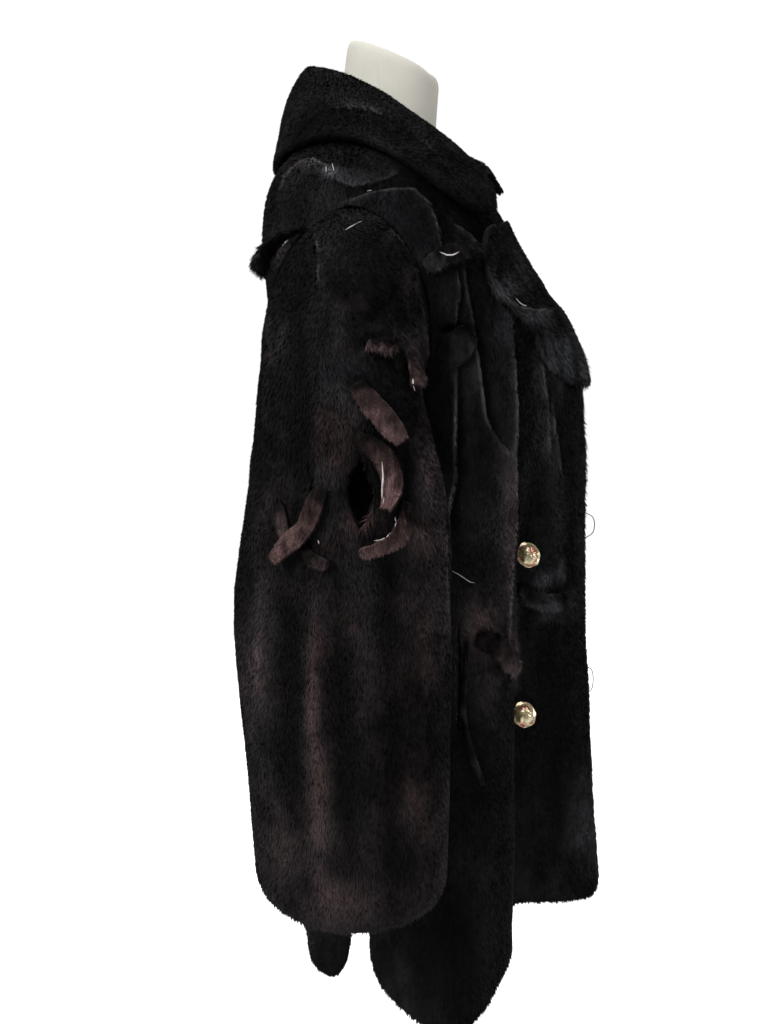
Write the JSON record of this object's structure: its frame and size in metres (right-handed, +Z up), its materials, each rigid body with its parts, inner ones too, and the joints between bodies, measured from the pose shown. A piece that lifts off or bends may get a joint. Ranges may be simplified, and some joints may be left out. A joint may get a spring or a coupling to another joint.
{
  "type": "fur coat on dress form",
  "caption": "Worn double-breasted coat of sheared dark fur with a wide collar, hanging on a limbless cloth dress form with pole and round base.",
  "frame": {"origin": "middle of the base's underside, on the floor under the pole", "axes": "+Z up, the coat faces -Y, its wearer's right is -X"},
  "size_m": [0.6665, 0.4008, 1.4901],
  "materials": {
    "fur": "sheared beaver fur, nearly black brown, dull with a soft sheen along the folds, browner where it is worn",
    "worn_fur": "torn strips of fur with a reddish brown pile and pale leather at the edges",
    "button": "domed metal, gilt with a faint play of colours",
    "loop": "thin grey brown thread",
    "form_cloth": "smooth off-white cloth, matt",
    "stand_metal": "plain grey metal, satin"
  },
  "bodies": {
    "root": {"back": "fur", "right_front": "fur", "left_front": "fur", "right_top_sleeve": "fur", "right_under_sleeve": "fur", "left_top_sleeve": "fur", "left_under_sleeve": "fur", "collar": "fur", "right_revere": "fur", "left_revere": "fur", "shoulder_flap_back": "worn_fur", "shoulder_flap_front": "worn_fur", "sleeve_tuft": "worn_fur", "sleeve_strip_1": "worn_fur", "sleeve_strip_2": "worn_fur", "sleeve_strip_3": "worn_fur", "sleeve_strip_4": "worn_fur", "sleeve_strip_5": "worn_fur", "sleeve_strip_6": "worn_fur", "sleeve_strip_7": "worn_fur", "front_pouch": "worn_fur", "front_strip": "worn_fur", "front_lobe": "worn_fur", "front_curl": "worn_fur", "button_right_upper": "button", "button_right_lower": "button", "button_left_upper": "button", "button_left_lower": "button", "loop_upper": "loop", "loop_lower": "loop", "dress_form": "form_cloth", "stand_base": "stand_metal", "stand_pole": "stand_metal"}
  },
  "joints": []
}
